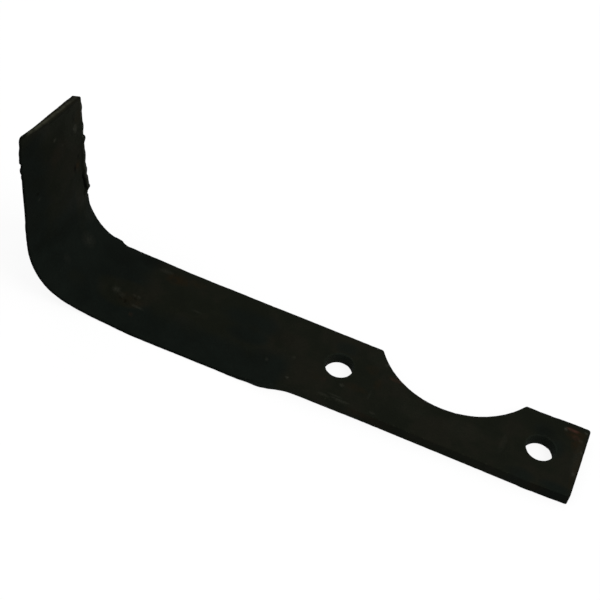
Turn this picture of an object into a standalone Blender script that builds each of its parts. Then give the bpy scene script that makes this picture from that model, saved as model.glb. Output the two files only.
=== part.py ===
"""Rotary tiller blade: one forged steel bar, bolted flat to the rotor through two holes.

Frame: X runs along the shank, from the tip at -X to the butt at +X. Y runs across the bar, from the
knife edge to the back edge. Z is up, square to the shank. The origin lies on the shank's underside,
midway between the two bolts and halfway across the neck that the notch leaves.

The bar is first drawn as a flat blank, section by section, and each point is then carried round the
bend. A station is a distance along the flat blank, measured from the inner bolt towards the tip.
Below, "front" is the side of the knife edge and "back" is the side of the notch.
"""
import math

import bmesh
import bpy

MM = 0.001

# Shank: flat bar with two bolt holes
SHANK_WIDTH = 30.2 * MM
SHANK_THICK = 5.0 * MM
BOLT_SPACING = 78.0 * MM
BOLT_HOLE_DIAMETER = 11.0 * MM
BOLT_HOLE_CHAMFER = 0.15 * MM
BOLT_LINE_FROM_FRONT = 15.75 * MM
OUTER_HOLE_OFFSET = -0.4 * MM        # the outer hole sits a little off the bolt line
BUTT_PAST_BOLT = 15.05 * MM          # at its front corner
BUTT_SKEW = 0.35 * MM                # sheared askew: the front corner stands out past the back one
BUTT_SWELL = 0.5 * MM                # the bar is that much wider past the notch
BUTT_FLARE = 0.5 * MM                # and that much more at its very end
BUTT_CORNER_RADIUS = 0.8 * MM

# Notch in the back edge, which clears the rotor tube
NOTCH_RADIUS = 33.5 * MM
NOTCH_CENTRE_FROM_BOLT_LINE = 32.8 * MM
NOTCH_CENTRE_SHIFT = 1.0 * MM        # from midway between the bolts, towards the butt
NOTCH_HORN_SOFTNESS = 0.5 * MM

# Forged step, where the bar is drawn out into the knife: a slow widening and a quicker one
STEP_LEAD_START = -4.0 * MM
STEP_LEAD_LENGTH = 36.0 * MM
STEP_LEAD_SHARE = 0.3
STEP_START = 12.5 * MM
STEP_LENGTH = 14.0 * MM
BEVEL_START = 8.0 * MM
BEVEL_RUNOUT = 30.0 * MM             # length over which the front face thins to the knife's land
KNIFE_LAND = 0.5 * MM
BEVEL_WIDTH = 15.0 * MM

# Bend: a slow start and a tighter second part, about a fold line slightly askew
FOLD_FROM_BOLT = 87.0 * MM
FOLD_SKEW = math.radians(3.0)
EASE_RADIUS = 45.0 * MM              # radii of the outer, convex face
EASE_ANGLE = math.radians(20.0)
BEND_RADIUS = 21.5 * MM
BEND_ANGLE = math.radians(90.0)

# Tip: thinned by forging and cut off at a slant
TIP_LENGTH = 58.05 * MM              # straight part, along the knife edge
TIP_THICK = 2.6 * MM
TIP_CORNER_RADIUS = 1.6 * MM         # at the knife's corner, seen square to the tip
THINNING_BEFORE_FOLD = 12.0 * MM
END_SLANT = 7.25 * MM                # the back corner is that much lower than the front one
SLANT_HOLLOW = 0.85                  # power of the slanted edge, a little hollow below 1
SLANT_RUN = 30.0 * MM
BACK_LEAN = 1.0 * MM                 # the sheared back face leans inwards by that much at the end
LIP_WIDTH = 2.2 * MM                 # folded burr on the concave face, along the back edge
LIP_HEIGHT = 0.6 * MM

EDGE_ROUND = 0.35 * MM

# How far the knife stands out past the shank's front edge: (station from the fold, distance)
KNIFE_OUTLINE = (
    (-59.0 * MM, 3.4 * MM), (-37.0 * MM, 3.6 * MM), (-10.0 * MM, 3.7 * MM), (0.0, 3.05 * MM),
    (8.0 * MM, 2.8 * MM), (25.0 * MM, 3.1 * MM), (38.0 * MM, 2.5 * MM), (50.0 * MM, 2.9 * MM),
    (64.0 * MM, 2.0 * MM), (76.0 * MM, 1.6 * MM), (100.0 * MM, 0.4 * MM),
)
# How far the back edge stands out past the bar's back edge
BACK_OUTLINE = (
    (-87.0 * MM, -0.1 * MM), (-37.0 * MM, 0.0), (-20.0 * MM, 0.05 * MM), (-7.0 * MM, 0.6 * MM),
    (2.0 * MM, 0.9 * MM), (19.0 * MM, 1.25 * MM), (31.0 * MM, 1.95 * MM), (40.0 * MM, 1.95 * MM),
    (55.0 * MM, 1.4 * MM), (75.0 * MM, 2.15 * MM), (93.0 * MM, 2.65 * MM),
)
# Ragged spots: (station from the fold, length before it, length after it, distance outwards)
KNIFE_LUMPS = (
    (85.5 * MM, 2.5 * MM, 1.5 * MM, 0.65 * MM), (89.6 * MM, 1.5 * MM, 5.0 * MM, 0.8 * MM),
)
BACK_LUMPS = (
    (9.0 * MM, 4.0 * MM, 3.0 * MM, -0.35 * MM), (12.4 * MM, 1.6 * MM, 4.5 * MM, 0.55 * MM),
    (45.2 * MM, 1.5 * MM, 1.0 * MM, -0.7 * MM), (47.9 * MM, 0.9 * MM, 6.2 * MM, 1.3 * MM),
    (57.5 * MM, 3.0 * MM, 2.0 * MM, 0.15 * MM), (66.0 * MM, 3.0 * MM, 2.5 * MM, 0.3 * MM),
    (72.8 * MM, 1.8 * MM, 2.4 * MM, 1.15 * MM), (79.0 * MM, 2.5 * MM, 3.0 * MM, 0.4 * MM),
    (88.0 * MM, 2.0 * MM, 3.0 * MM, 0.4 * MM),
)
LIP_START = 43.0 * MM                # stations of the folded burr, from the fold
LIP_END = 76.0 * MM

# Spacing of the stations
COARSE_STEP = 4.5 * MM
FINE_STEP = 1.8 * MM
TIP_STEP = 1.1 * MM
ROUND_STEPS = 2
BEVEL_SHARES = (0.25, 0.5, 0.7, 0.85, 1.0, 1.15, 1.3)
UNDERSIDE_SHARES = (0.75, 0.5, 0.25)
HOLE_SIDES = 64

# Places worked out from the sizes
INNER_BOLT_X = -BOLT_SPACING / 2
FRONT_Y = -BOLT_LINE_FROM_FRONT
BACK_Y = FRONT_Y + SHANK_WIDTH
NOTCH_BOTTOM_Y = NOTCH_CENTRE_FROM_BOLT_LINE - NOTCH_RADIUS
NECK_MIDDLE_Y = (FRONT_Y + NOTCH_BOTTOM_Y) / 2
NOTCH_STATION = -(BOLT_SPACING / 2 + NOTCH_CENTRE_SHIFT)
EASE_RUN = EASE_RADIUS * EASE_ANGLE
BEND_RUN = BEND_RADIUS * (BEND_ANGLE - EASE_ANGLE)
BUTT_STATION = -(BOLT_SPACING + BUTT_PAST_BOLT)
END_STATION = FOLD_FROM_BOLT + EASE_RUN + BEND_RUN + TIP_LENGTH


def ease(share):
    """Rises smoothly from 0 to 1."""
    share = min(max(share, 0.0), 1.0)
    return share * share * (3.0 - 2.0 * share)


def through(points, place):
    """Smooth curve through (place, value) points, level beyond its two ends."""
    if place <= points[0][0]:
        return points[0][1]
    if place >= points[-1][0]:
        return points[-1][1]
    index = 0
    while points[index + 1][0] < place:
        index += 1

    def slope(at):
        low, high = max(at - 1, 0), min(at + 1, len(points) - 1)
        return (points[high][1] - points[low][1]) / (points[high][0] - points[low][0])

    (start, low_value), (stop, high_value) = points[index], points[index + 1]
    span = stop - start
    t = (place - start) / span
    bulge = t * (1.0 - t)
    lean = (1.0 - t) * slope(index) - t * slope(index + 1)
    straight = high_value - low_value
    return low_value + straight * ease(t) + bulge * span * lean


def lumps(spots, place):
    """Sum of the ragged spots at a place."""
    total = 0.0
    for centre, before, after, out in spots:
        reach = before if place < centre else after
        t = min(abs(place - centre) / reach, 1.0)
        total += out * (1.0 - t * t) ** 2
    return total


def softer_minimum(first, second, softness):
    """The smaller of two values, with the corner where they cross rounded."""
    overlap = max(softness - abs(first - second), 0.0) / softness
    return min(first, second) - overlap * overlap * softness / 4


def corner_cut(distance, radius):
    """How far a rounded corner pulls an edge in, at a distance from the bar's end."""
    if distance >= radius:
        return 0.0
    reach = radius - max(distance, 0.0)
    return radius - math.sqrt(radius * radius - reach * reach)


def front_edge(station):
    """Y of the front edge: the shank's straight side, the forged step and the knife."""
    from_fold = station - FOLD_FROM_BOLT
    stand_out = through(KNIFE_OUTLINE, from_fold) + lumps(KNIFE_LUMPS, from_fold)
    lead = ease((station - STEP_LEAD_START) / STEP_LEAD_LENGTH)
    step = ease((station - STEP_START) / STEP_LENGTH)
    return FRONT_Y - stand_out * (STEP_LEAD_SHARE * lead + (1.0 - STEP_LEAD_SHARE) * step)


def notch_edge(station):
    """Y of the notch's arc, or far outside the bar where there is no notch."""
    along = station - NOTCH_STATION
    if abs(along) >= NOTCH_RADIUS:
        return NOTCH_CENTRE_FROM_BOLT_LINE + SHANK_WIDTH
    return NOTCH_CENTRE_FROM_BOLT_LINE - math.sqrt(NOTCH_RADIUS ** 2 - along ** 2)


def back_edge(station):
    """Y of the back edge: the bar's straight side, the notch and the tip's ragged side."""
    from_fold = station - FOLD_FROM_BOLT
    swell = 0.0
    if station < NOTCH_STATION:
        swell = BUTT_SWELL + BUTT_FLARE * ease((NOTCH_STATION - NOTCH_RADIUS - station) / BUTT_PAST_BOLT)
    edge = BACK_Y + swell + through(BACK_OUTLINE, from_fold) + lumps(BACK_LUMPS, from_fold)
    return softer_minimum(edge, notch_edge(station), NOTCH_HORN_SOFTNESS)


def thickness(station):
    start = FOLD_FROM_BOLT - THINNING_BEFORE_FOLD
    share = min(max((station - start) / (END_STATION - start), 0.0), 1.0)
    return SHANK_THICK + (TIP_THICK - SHANK_THICK) * share


def front_land(station):
    """Height of the front face: full on the shank, and a thin land on the knife."""
    full = thickness(station)
    return full + (KNIFE_LAND - full) * ease((station - BEVEL_START) / BEVEL_RUNOUT)


def shoulder(share):
    """Height of the wedge's top across its width, with a soft shoulder where it ends."""
    if share <= 0.7:
        return share
    return share - (share - 0.7) ** 2 / 1.2


def arc(centre_across, centre_up, radius, start, stop):
    """Points of a rounded corner of the section, from one angle to another in degrees."""
    points = []
    for step in range(ROUND_STEPS + 1):
        angle = math.radians(start + (stop - start) * step / ROUND_STEPS)
        points.append((centre_across + radius * math.cos(angle), centre_up + radius * math.sin(angle)))
    return points


def section(station, width):
    """One closed section as (distance from the front edge, height over the underside).

    The wedge lies in one plane: where the knife's edge spills out, the wedge doesn't follow it.
    """
    full = thickness(station)
    land = front_land(station)
    front_round = min(EDGE_ROUND, 0.4 * land)
    back_round = min(EDGE_ROUND, 0.4 * full)
    bevel = min(BEVEL_WIDTH, 0.6 * width)
    past_fold = station - FOLD_FROM_BOLT
    spill = lumps(KNIFE_LUMPS, past_fold)
    lean = BACK_LEAN * ease(past_fold / (END_STATION - FOLD_FROM_BOLT))
    lip_share = (past_fold - LIP_START) / (LIP_END - LIP_START)
    lip = LIP_HEIGHT * (ease(lip_share * 6) - ease(lip_share * 1.6 - 0.6))
    points = arc(front_round, front_round, front_round, 270, 180)
    points += arc(front_round, land - front_round, front_round, 180, 90)
    for share in BEVEL_SHARES:
        points.append((spill + front_round + bevel * share, land + (full - land) * shoulder(share)))
    points.append((width - LIP_WIDTH, full - 0.2 * lip))
    points.append((width - 0.75 * LIP_WIDTH, full + lip))
    points += arc(width - back_round, full + 0.8 * lip - back_round, back_round, 90, 0)
    points += arc(width - lean - back_round, back_round, back_round, 0, -90)
    points += [(share * width, 0.0) for share in UNDERSIDE_SHARES]
    return points


def round_bend(station, across, up):
    """Carries a point of the flat blank round the bend."""
    ahead = station - FOLD_FROM_BOLT
    run = ahead * math.cos(FOLD_SKEW) + across * math.sin(FOLD_SKEW)
    aside = across * math.cos(FOLD_SKEW) - ahead * math.sin(FOLD_SKEW)
    eased = min(max(run, 0.0), EASE_RUN)
    bent = min(max(run - EASE_RUN, 0.0), BEND_RUN)
    straight = max(run - EASE_RUN - BEND_RUN, 0.0)
    first = eased / EASE_RADIUS
    turn = first + bent / BEND_RADIUS
    out = min(run, 0.0) + EASE_RADIUS * math.sin(first) + BEND_RADIUS * (math.sin(turn) - math.sin(first))
    rise = EASE_RADIUS * (1 - math.cos(first)) + BEND_RADIUS * (math.cos(first) - math.cos(turn))
    out += straight * math.cos(turn) - up * math.sin(turn)
    rise += straight * math.sin(turn) + up * math.cos(turn)
    forward = out * math.cos(FOLD_SKEW) - aside * math.sin(FOLD_SKEW)
    y = out * math.sin(FOLD_SKEW) + aside * math.cos(FOLD_SKEW)
    return (INNER_BOLT_X - FOLD_FROM_BOLT - forward, y, rise)


def ring(station, inset=0.0):
    """One section of the finished blade. Near its two ends the sections turn to the ends' slants."""
    slant = END_SLANT * ease((station - END_STATION + SLANT_RUN) / SLANT_RUN)
    slant -= BUTT_SKEW * (1.0 - ease((station - BUTT_STATION) / BUTT_PAST_BOLT))
    butt_corner = corner_cut(station - BUTT_STATION, BUTT_CORNER_RADIUS)
    front = front_edge(station) + butt_corner + corner_cut(END_STATION - station, TIP_CORNER_RADIUS)
    width = back_edge(station - slant) - butt_corner - front
    full = thickness(station)
    points = []
    for across, up in section(station, width):
        share = across / width
        across = inset + across * (1 - 2 * inset / width)
        up = inset + up * (1 - 2 * inset / full)
        points.append(round_bend(station - slant * share ** SLANT_HOLLOW, front + across, up))
    return points


def spread(start, stop, step):
    """Evenly spaced stations from start up to, but not including, stop."""
    count = max(1, math.ceil((stop - start) / step - 1e-9))
    return [start + (stop - start) * index / count for index in range(count)]


def stations():
    """Stations along the blank, close together where its outline turns."""
    reach = math.sqrt(NOTCH_RADIUS ** 2 - (NOTCH_CENTRE_FROM_BOLT_LINE - BACK_Y) ** 2)
    horn = 1.5 * MM
    outer_horn, inner_horn = NOTCH_STATION - reach, NOTCH_STATION + reach
    bends = FOLD_FROM_BOLT - THINNING_BEFORE_FOLD / 2
    places = [BUTT_STATION + EDGE_ROUND, BUTT_STATION + (EDGE_ROUND + BUTT_CORNER_RADIUS) / 2]
    places += spread(BUTT_STATION + BUTT_CORNER_RADIUS, outer_horn - horn, COARSE_STEP)
    places += spread(outer_horn - horn, outer_horn + horn, FINE_STEP / 4)
    places += spread(outer_horn + horn, inner_horn - horn, FINE_STEP)
    places += spread(inner_horn - horn, inner_horn + horn, FINE_STEP / 4)
    places += spread(inner_horn + horn, STEP_START, COARSE_STEP)
    places += spread(STEP_START, BEVEL_START + BEVEL_RUNOUT, FINE_STEP)
    places += spread(BEVEL_START + BEVEL_RUNOUT, bends, COARSE_STEP)
    places += spread(bends, END_STATION - EDGE_ROUND, TIP_STEP)
    places.append(END_STATION - EDGE_ROUND)
    return places


def blade_mesh():
    """The whole bar, lofted through its sections and closed at both ends."""
    low = 0.3 * EDGE_ROUND
    rings = [ring(BUTT_STATION, EDGE_ROUND), ring(BUTT_STATION + low, low)]
    rings += [ring(place) for place in stations()]
    rings += [ring(END_STATION - low, low), ring(END_STATION, EDGE_ROUND)]
    shape = bmesh.new()
    loops = [[shape.verts.new(point) for point in points] for points in rings]
    count = len(loops[0])
    for near, far in zip(loops, loops[1:]):
        for index in range(count):
            following = (index + 1) % count
            shape.faces.new((near[index], near[following], far[following], far[index]))
    shape.faces.new(loops[0][::-1])
    shape.faces.new(loops[-1])
    bmesh.ops.recalc_face_normals(shape, faces=shape.faces)
    mesh = bpy.data.meshes.new("tiller_blade")
    shape.to_mesh(mesh)
    shape.free()
    return mesh


def bolt_hole(name, x, y, blade):
    """Cutter for one bolt hole: a plain bore whose two rims are lightly chamfered."""
    radius = BOLT_HOLE_DIAMETER / 2
    past = SHANK_THICK
    flare = radius + BOLT_HOLE_CHAMFER + past
    profile = [
        (flare, -past), (radius, BOLT_HOLE_CHAMFER),
        (radius, SHANK_THICK - BOLT_HOLE_CHAMFER), (flare, SHANK_THICK + past),
    ]
    shape = bmesh.new()
    loops = []
    for ring_radius, height in profile:
        loop = []
        for side in range(HOLE_SIDES):
            angle = 2 * math.pi * side / HOLE_SIDES
            place = (ring_radius * math.cos(angle), ring_radius * math.sin(angle), height)
            loop.append(shape.verts.new(place))
        loops.append(loop)
    for below, above in zip(loops, loops[1:]):
        for side in range(HOLE_SIDES):
            following = (side + 1) % HOLE_SIDES
            shape.faces.new((below[side], below[following], above[following], above[side]))
    shape.faces.new(loops[0][::-1])
    shape.faces.new(loops[-1])
    bmesh.ops.recalc_face_normals(shape, faces=shape.faces)
    mesh = bpy.data.meshes.new(name)
    shape.to_mesh(mesh)
    shape.free()
    cutter = bpy.data.objects.new(name, mesh)
    bpy.context.collection.objects.link(cutter)
    cutter.parent = blade
    cutter.location = (x, y, 0.0)
    cutter.hide_render = True
    cutter.display_type = "WIRE"
    cut = blade.modifiers.new(name, "BOOLEAN")
    cut.object = cutter
    cut.operation = "DIFFERENCE"
    cut.solver = "EXACT"
    return cutter


def steel():
    """Forged steel with its black scale still on."""
    material = bpy.data.materials.new("black_scale_steel")
    material.use_nodes = True
    shader = material.node_tree.nodes["Principled BSDF"]
    shader.inputs["Base Color"].default_value = (0.0085, 0.0088, 0.0068, 1.0)
    shader.inputs["Metallic"].default_value = 0.3
    shader.inputs["Roughness"].default_value = 0.55
    return material


def main():
    for thing in list(bpy.data.objects):
        bpy.data.objects.remove(thing, do_unlink=True)
    mesh = blade_mesh()
    mesh.materials.append(steel())
    mesh.shade_smooth()
    mesh.set_sharp_from_angle(angle=math.radians(35))
    blade = bpy.data.objects.new("tiller_blade", mesh)
    bpy.context.collection.objects.link(blade)
    blade.location = (0.0, -NECK_MIDDLE_Y, 0.0)
    bolt_hole("inner_bolt_hole", INNER_BOLT_X, 0.0, blade)
    bolt_hole("outer_bolt_hole", INNER_BOLT_X + BOLT_SPACING, OUTER_HOLE_OFFSET, blade)


main()
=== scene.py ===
"""Looks of the rotary tiller blade: a fine forged surface over the solid, its steel, and a plain studio.

The blade is drawn as in the part's own source, from the same sizes, but in much finer steps and with
finer waves and ragged spots along its edges. It is first a flat blank, section by section. A station
is a distance along the blank, measured from the inner bolt towards the tip, and a place across it is
measured from the bolt line, negative towards the knife edge. Every point is then carried round the
bend. Scale, pits, dents and the folded burr are worked into the points afterwards. Lengths are in
metres. "Front" is the side of the knife edge, and "back" is the side of the notch.
"""
import math

import bmesh
import bpy
from mathutils import Matrix, Vector, noise


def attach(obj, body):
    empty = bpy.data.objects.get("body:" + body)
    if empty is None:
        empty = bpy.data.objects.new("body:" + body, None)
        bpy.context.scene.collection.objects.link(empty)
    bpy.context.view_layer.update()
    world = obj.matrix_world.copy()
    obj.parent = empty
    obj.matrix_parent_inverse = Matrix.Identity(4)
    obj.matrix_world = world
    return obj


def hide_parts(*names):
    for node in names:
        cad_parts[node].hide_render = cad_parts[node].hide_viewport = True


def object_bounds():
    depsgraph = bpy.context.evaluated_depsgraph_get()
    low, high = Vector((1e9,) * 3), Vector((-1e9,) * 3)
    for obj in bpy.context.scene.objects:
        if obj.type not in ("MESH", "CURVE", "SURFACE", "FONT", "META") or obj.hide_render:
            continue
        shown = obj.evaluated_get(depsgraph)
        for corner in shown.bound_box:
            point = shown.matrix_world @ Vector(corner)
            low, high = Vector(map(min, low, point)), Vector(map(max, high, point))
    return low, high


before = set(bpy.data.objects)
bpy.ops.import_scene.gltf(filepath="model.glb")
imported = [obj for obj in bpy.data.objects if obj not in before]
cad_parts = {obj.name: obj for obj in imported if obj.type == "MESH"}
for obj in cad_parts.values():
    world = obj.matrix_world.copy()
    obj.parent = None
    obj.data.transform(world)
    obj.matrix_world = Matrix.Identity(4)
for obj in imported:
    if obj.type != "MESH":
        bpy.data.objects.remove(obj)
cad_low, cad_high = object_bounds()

MM = 0.001
NODE = "tiller_blade"

# Shank: flat bar with two bolt holes
SHANK_WIDTH = 30.2 * MM
SHANK_THICK = 5.0 * MM
BOLT_SPACING = 78.0 * MM
BOLT_HOLE_DIAMETER = 11.0 * MM
BOLT_HOLE_CHAMFER = 0.15 * MM
BOLT_LINE_FROM_FRONT = 15.75 * MM
OUTER_HOLE_OFFSET = -0.4 * MM        # the outer hole sits a little off the bolt line
BUTT_PAST_BOLT = 15.05 * MM          # at its front corner
BUTT_SKEW = 0.35 * MM                # sheared askew: the front corner stands out past the back one
BUTT_SWELL = 0.5 * MM                # the bar is that much wider past the notch
BUTT_FLARE = 0.5 * MM                # and that much more at its very end
BUTT_CORNER_RADIUS = 0.8 * MM

# Notch in the back edge
NOTCH_RADIUS = 33.5 * MM
NOTCH_CENTRE_FROM_BOLT_LINE = 32.8 * MM
NOTCH_CENTRE_SHIFT = 1.0 * MM        # from midway between the bolts, towards the butt
NOTCH_HORN_SOFTNESS = 0.5 * MM

# Forged step, where the bar is drawn out into the knife: a slow widening and a quicker one
STEP_LEAD_START = -4.0 * MM
STEP_LEAD_LENGTH = 36.0 * MM
STEP_LEAD_SHARE = 0.3
STEP_START = 12.5 * MM
STEP_LENGTH = 14.0 * MM
BEVEL_START = 8.0 * MM
BEVEL_RUNOUT = 30.0 * MM             # length over which the front face thins to the knife's land
KNIFE_LAND = 0.5 * MM
BEVEL_WIDTH = 15.0 * MM
BEVEL_SHARE = 0.6                    # most of the bar's width that the bevel takes up
SHOULDER_START = 0.7                 # shares of the bevel's width between which its shoulder is round
SHOULDER_END = 1.3

# Bend: a slow start and a tighter second part, about a fold line slightly askew
FOLD_FROM_BOLT = 87.0 * MM
FOLD_SKEW = math.radians(3.0)
EASE_RADIUS = 45.0 * MM              # radii of the outer, convex face
EASE_ANGLE = math.radians(20.0)
BEND_RADIUS = 21.5 * MM
BEND_ANGLE = math.radians(90.0)

# Tip: thinned by forging and cut off at a slant
TIP_LENGTH = 58.05 * MM              # straight part, along the knife edge
TIP_THICK = 2.6 * MM
TIP_CORNER_RADIUS = 1.6 * MM         # at the knife's corner, seen square to the tip
THINNING_BEFORE_FOLD = 12.0 * MM
END_SLANT = 7.25 * MM                # the back corner is that much lower than the front one
SLANT_HOLLOW = 0.85                  # power of the slanted edge, a little hollow below 1
SLANT_RUN = 30.0 * MM
BACK_LEAN = 1.0 * MM                 # the sheared back face leans inwards by that much at the end

# Lip of the folded burr, on the concave face along the back edge
LIP_WIDTH = 2.2 * MM
LIP_HEIGHT = 0.6 * MM
LIP_START = 43.0 * MM                # from the fold
LIP_END = 76.0 * MM
LIP_RISE_RATE = 6.0                  # it rises over a sixth of its length
LIP_FALL_RATE = 1.6                  # and falls over the last 1/1.6 of it
LIP_CREST_SHARE = 0.75               # place of its crest, as a share of its width from the back edge
LIP_RIM_SHARE = 0.8                  # height left at the back edge, as a share of the crest's
LIP_DIP_SHARE = 0.2                  # hollow before it, as a share of the crest's height

EDGE_ROUND = 0.35 * MM
EDGE_ROUND_SHARE = 0.4               # most of the local thickness that a rounded edge takes up

# Outlines past the bar's edges: (station from the fold, distance)
KNIFE_OUTLINE = (
    (-59.0 * MM, 3.4 * MM), (-37.0 * MM, 3.6 * MM), (-10.0 * MM, 3.7 * MM), (0.0, 3.05 * MM),
    (8.0 * MM, 2.8 * MM), (25.0 * MM, 3.1 * MM), (38.0 * MM, 2.5 * MM), (50.0 * MM, 2.9 * MM),
    (64.0 * MM, 2.0 * MM), (76.0 * MM, 1.6 * MM), (100.0 * MM, 0.4 * MM),
)
BACK_OUTLINE = (
    (-87.0 * MM, -0.1 * MM), (-37.0 * MM, 0.0), (-20.0 * MM, 0.05 * MM), (-7.0 * MM, 0.6 * MM),
    (2.0 * MM, 0.9 * MM), (19.0 * MM, 1.25 * MM), (31.0 * MM, 1.95 * MM), (40.0 * MM, 1.95 * MM),
    (55.0 * MM, 1.4 * MM), (75.0 * MM, 2.15 * MM), (93.0 * MM, 2.65 * MM),
)
# Ragged spots: (station from the fold, length before it, length after it, distance outwards)
KNIFE_LUMPS = (
    (85.5 * MM, 2.5 * MM, 1.5 * MM, 0.65 * MM), (89.6 * MM, 1.5 * MM, 5.0 * MM, 0.8 * MM),
    (57.0 * MM, 3.0 * MM, 3.0 * MM, 0.2 * MM), (82.3 * MM, 1.6 * MM, 1.3 * MM, 0.3 * MM),
    (86.1 * MM, 0.9 * MM, 0.9 * MM, 0.45 * MM), (93.8 * MM, 2.2 * MM, 2.4 * MM, 0.5 * MM),
)
BACK_LUMPS = (
    (9.0 * MM, 4.0 * MM, 3.0 * MM, -0.35 * MM), (12.4 * MM, 1.6 * MM, 4.5 * MM, 0.55 * MM),
    (45.2 * MM, 1.5 * MM, 1.0 * MM, -0.7 * MM), (47.7 * MM, 0.6 * MM, 6.2 * MM, 1.25 * MM),
    (57.5 * MM, 3.0 * MM, 2.0 * MM, 0.15 * MM), (66.0 * MM, 3.0 * MM, 2.5 * MM, 0.3 * MM),
    (72.8 * MM, 1.8 * MM, 2.4 * MM, 1.15 * MM), (79.0 * MM, 2.5 * MM, 3.0 * MM, 0.4 * MM),
    (88.0 * MM, 2.0 * MM, 3.0 * MM, 0.4 * MM), (46.5 * MM, 1.4 * MM, 0.9 * MM, -0.45 * MM),
    (49.3 * MM, 0.9 * MM, 1.3 * MM, -0.3 * MM), (53.8 * MM, 3.4 * MM, 1.7 * MM, 0.62 * MM),
    (58.5 * MM, 2.6 * MM, 1.5 * MM, 0.36 * MM), (61.8 * MM, 1.4 * MM, 1.6 * MM, -0.26 * MM),
)
# Slight waves of the bar's front edge up to the knife: (station, distance outwards)
FRONT_WAVES = (
    (-93.0 * MM, -0.33 * MM), (-90.0 * MM, -0.28 * MM), (-86.0 * MM, -0.06 * MM),
    (-81.0 * MM, 0.06 * MM), (-77.0 * MM, 0.24 * MM), (-74.0 * MM, 0.1 * MM), (-70.0 * MM, 0.1 * MM),
    (-50.0 * MM, 0.05 * MM), (-14.0 * MM, 0.08 * MM), (-4.0 * MM, 0.22 * MM), (2.0 * MM, 0.22 * MM),
    (6.0 * MM, 0.1 * MM), (9.0 * MM, 0.03 * MM), (15.0 * MM, 0.08 * MM), (22.0 * MM, 0.26 * MM),
    (28.0 * MM, -0.08 * MM), (32.5 * MM, 0.18 * MM), (40.0 * MM, 0.04 * MM),
)

# Fineness of the surface
MESH_STEP = 0.58 * MM
FINE_STEP = 0.4 * MM                 # at the notch's two horns and the ledge where the burr starts
HORN_REACH = 1.5 * MM                # the fine steps go that far to each side of a horn
LEDGE_START = 46.0 * MM              # the fine steps at the ledge, from the fold
LEDGE_END = 50.0 * MM
ARC_STEPS = 4                        # along each rounded edge
SIDE_STEPS = 7                       # up each side face
TOP_STEPS = 50                       # across the top face, up to the burr
BURR_STEPS = 10                      # across the burr
END_STEPS = 4                        # round the two ends
HOLE_SIDES = 96
SLIVER = 0.06 * MM                   # points closer together than that are joined
SHARP_ANGLE = math.radians(50.0)     # edges sharper than that are not shaded smooth

# Places worked out from the sizes
INNER_BOLT_X = -BOLT_SPACING / 2
FRONT_Y = -BOLT_LINE_FROM_FRONT
BACK_Y = FRONT_Y + SHANK_WIDTH
NOTCH_BOTTOM_Y = NOTCH_CENTRE_FROM_BOLT_LINE - NOTCH_RADIUS
BOLT_LINE_Y = -(FRONT_Y + NOTCH_BOTTOM_Y) / 2
NOTCH_STATION = -(BOLT_SPACING / 2 + NOTCH_CENTRE_SHIFT)
EASE_RUN = EASE_RADIUS * EASE_ANGLE
BEND_RUN = BEND_RADIUS * (BEND_ANGLE - EASE_ANGLE)
BUTT_STATION = -(BOLT_SPACING + BUTT_PAST_BOLT)
END_STATION = FOLD_FROM_BOLT + EASE_RUN + BEND_RUN + TIP_LENGTH


def ease(share):
    """Rises smoothly from 0 to 1."""
    share = min(max(share, 0.0), 1.0)
    return share * share * (3.0 - 2.0 * share)


def rising(value, start, length):
    """Goes smoothly from 0 to 1 over a length that begins at a start."""
    return ease((value - start) / length)


def falling(value, stop, length):
    """Goes smoothly from 1 to 0 over a length that finishes at a stop."""
    return ease((stop - value) / length)


def band(value, start, stop, fade):
    """One between two places, fading inside both."""
    return rising(value, start, fade) * falling(value, stop, fade)


def near(value, centre, half):
    """One at a centre, falling to nothing at a half width from it."""
    return max(1.0 - ((value - centre) / half) ** 2, 0.0)


def through(points, place):
    """Smooth curve through (place, value) points, level beyond its two ends."""
    if place <= points[0][0]:
        return points[0][1]
    if place >= points[-1][0]:
        return points[-1][1]
    index = 0
    while points[index + 1][0] < place:
        index += 1

    def slope(at):
        low, high = max(at - 1, 0), min(at + 1, len(points) - 1)
        return (points[high][1] - points[low][1]) / (points[high][0] - points[low][0])

    (start, low_value), (stop, high_value) = points[index], points[index + 1]
    span = stop - start
    t = (place - start) / span
    bulge = t * (1.0 - t)
    lean = (1.0 - t) * slope(index) - t * slope(index + 1)
    straight = high_value - low_value
    return low_value + straight * ease(t) + bulge * span * lean


def lumps(spots, place):
    """Sum of the ragged spots at a place."""
    total = 0.0
    for centre, before, after, out in spots:
        reach = before if place < centre else after
        t = min(abs(place - centre) / reach, 1.0)
        total += out * (1.0 - t * t) ** 2
    return total


def softer_minimum(first, second, softness):
    """The smaller of two values, with the corner where they cross rounded."""
    overlap = max(softness - abs(first - second), 0.0) / softness
    return min(first, second) - overlap * overlap * softness / 4


def corner_cut(distance, radius):
    """How far a rounded corner pulls an edge in, at a distance from the bar's end."""
    if distance >= radius:
        return 0.0
    reach = radius - max(distance, 0.0)
    return radius - math.sqrt(radius * radius - reach * reach)


def front_edge(station):
    """Place of the front edge: the shank's straight side, the forged step and the knife."""
    from_fold = station - FOLD_FROM_BOLT
    stand_out = through(KNIFE_OUTLINE, from_fold) + lumps(KNIFE_LUMPS, from_fold)
    lead = rising(station, STEP_LEAD_START, STEP_LEAD_LENGTH)
    step = rising(station, STEP_START, STEP_LENGTH)
    edge = FRONT_Y - stand_out * (STEP_LEAD_SHARE * lead + (1.0 - STEP_LEAD_SHARE) * step)
    return edge - through(FRONT_WAVES, station)


def notch_edge(station):
    """Place of the notch's arc, or far outside the bar where there is no notch."""
    along = station - NOTCH_STATION
    if abs(along) >= NOTCH_RADIUS:
        return NOTCH_CENTRE_FROM_BOLT_LINE + SHANK_WIDTH
    return NOTCH_CENTRE_FROM_BOLT_LINE - math.sqrt(NOTCH_RADIUS ** 2 - along ** 2)


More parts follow.
